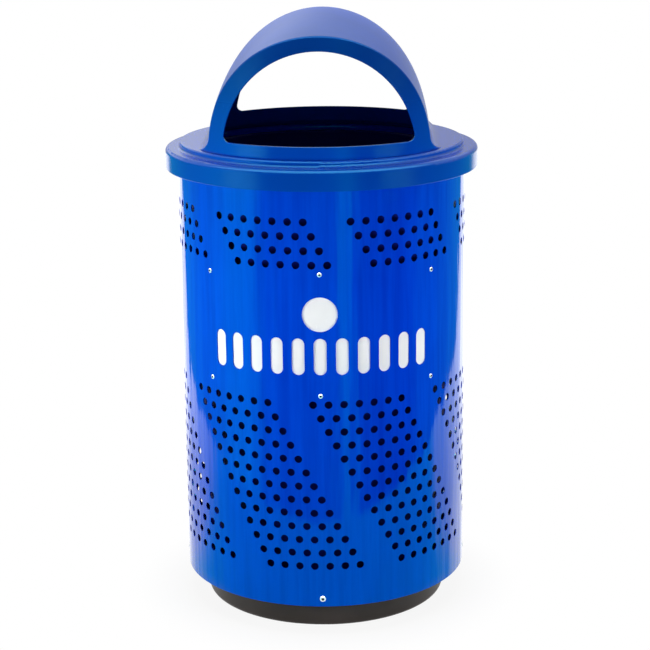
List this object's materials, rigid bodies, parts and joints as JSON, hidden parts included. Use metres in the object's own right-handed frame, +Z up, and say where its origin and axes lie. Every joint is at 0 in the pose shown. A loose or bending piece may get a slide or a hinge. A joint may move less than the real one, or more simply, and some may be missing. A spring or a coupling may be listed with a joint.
{
  "type": "outdoor recycling bin",
  "caption": "Round outdoor recycling bin: perforated steel drum on a recessed pan, with a lift-out plastic liner and a loose bonnet lid that opens at the front and back.",
  "frame": {"origin": "middle of the floor under the bin", "axes": "+Z up, -Y towards the front with the stencil, +X to the right as seen from the front"},
  "size_m": [0.6603, 0.6604, 1.27],
  "materials": {
    "shell_blue": "gloss powder coat",
    "lid_blue": "satin moulded plastic",
    "sign_white": "gloss white paint",
    "rivet_metal": "bright",
    "base_black": "satin black powder coat",
    "liner_black": "moulded black plastic"
  },
  "bodies": {
    "bin": {"perforated_shell": "shell_blue", "seam_strip": "shell_blue", "seam_rivets": "rivet_metal", "top_hoop": "shell_blue", "sign_panel": "sign_white", "sign_rivets": "rivet_metal", "base_pan": "base_black", "base_rivets": "rivet_metal"},
    "liner": {"liner": "liner_black"},
    "lid": {"bonnet_lid": "lid_blue"}
  },
  "joints": [
    {"name": "liner_lift", "type": "slide", "parent": "bin", "child": "liner", "axis": [0, 0, 1], "range_m": [0, 1]},
    {"name": "lid_lift", "type": "slide", "parent": "liner", "child": "lid", "axis": [0, 0, 1], "range_m": [0, 0.35]}
  ]
}
